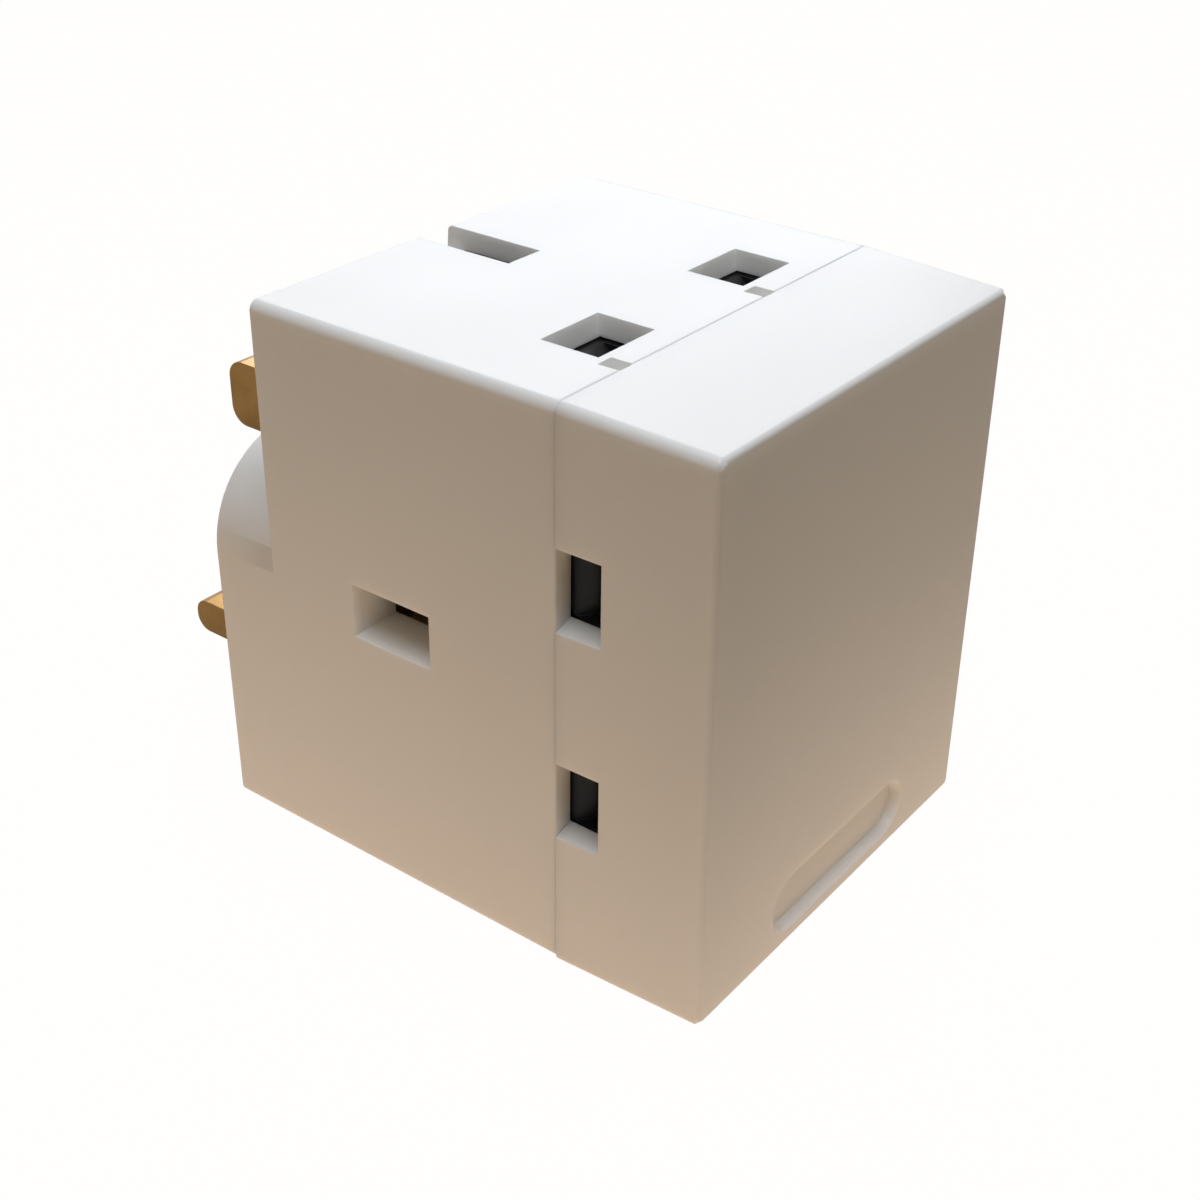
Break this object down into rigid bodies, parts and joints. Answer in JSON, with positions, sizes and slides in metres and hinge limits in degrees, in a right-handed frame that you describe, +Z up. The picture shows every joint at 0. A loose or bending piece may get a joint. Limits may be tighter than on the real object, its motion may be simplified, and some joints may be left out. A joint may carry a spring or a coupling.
{
  "type": "multi socket adapter",
  "caption": "White cube adaptor for rectangular-pin sockets: brass pins behind, shuttered outlets on the top and both sides, fuse drawer in the pin face.",
  "frame": {"origin": "on the pin face that lies against the wall plate, midway between the line and neutral pins", "axes": "+X to the right seen from the room, +Y along the pins towards the wall, +Z up towards the earth pin"},
  "size_m": [0.05, 0.0828, 0.059],
  "materials": {
    "white_plastic": "satin moulded",
    "pin_brass": "drawn and lightly polished",
    "sheet_brass": "rolled sheet",
    "rivet_brass": "turned",
    "sleeve_plastic": "fine matt",
    "shutter_plastic": "satin moulded",
    "fuse_ceramic": "glazed",
    "fuse_cap_metal": "nickel plated",
    "spring_steel": "drawn wire",
    "screw_steel": "zinc plated"
  },
  "bodies": {
    "casing": {"rear_housing": "white_plastic", "front_cover": "white_plastic", "line_pin": "pin_brass", "neutral_pin": "pin_brass", "earth_pin": "pin_brass", "line_pin_sleeve": "sleeve_plastic", "neutral_pin_sleeve": "sleeve_plastic", "line_busbar": "sheet_brass", "neutral_busbar": "sheet_brass", "earth_busbar": "sheet_brass", "fuse_clip_line_pin": "sheet_brass", "fuse_clip_line_bar": "sheet_brass", "left_line_clip": "sheet_brass", "left_neutral_clip": "sheet_brass", "left_earth_clip": "sheet_brass", "right_line_clip": "sheet_brass", "right_neutral_clip": "sheet_brass", "right_earth_clip": "sheet_brass", "top_line_clip": "sheet_brass", "top_neutral_clip": "sheet_brass", "top_earth_clip": "sheet_brass", "contact_rivets": "rivet_brass", "casing_screws": "screw_steel"},
    "fuse_drawer": {"fuse_carrier": "white_plastic", "fuse_tube": "fuse_ceramic", "fuse_cap_left": "fuse_cap_metal", "fuse_cap_right": "fuse_cap_metal"},
    "left_shutter_slide": {"left_shutter": "shutter_plastic", "left_shutter_spring": "spring_steel"},
    "right_shutter_slide": {"right_shutter": "shutter_plastic", "right_shutter_spring": "spring_steel"},
    "top_shutter_slide": {"top_shutter": "shutter_plastic", "top_shutter_spring": "spring_steel"}
  },
  "joints": [
    {"name": "fuse_drawer_slide", "type": "slide", "parent": "casing", "child": "fuse_drawer", "axis": [0, 1, 0], "range_m": [0, 0.012]},
    {"name": "left_shutter_run", "type": "slide", "parent": "casing", "child": "left_shutter_slide", "axis": [0, 1, 0], "range_m": [0, 0.0047], "stiffness_N_per_m": 150, "springref_m": -0.002, "deforming": ["left_shutter_spring"]},
    {"name": "right_shutter_run", "type": "slide", "parent": "casing", "child": "right_shutter_slide", "axis": [0, 1, 0], "range_m": [0, 0.0047], "stiffness_N_per_m": 150, "springref_m": -0.002, "deforming": ["right_shutter_spring"]},
    {"name": "top_shutter_run", "type": "slide", "parent": "casing", "child": "top_shutter_slide", "axis": [0, 1, 0], "range_m": [0, 0.0047], "stiffness_N_per_m": 150, "springref_m": -0.002, "deforming": ["top_shutter_spring"]}
  ]
}
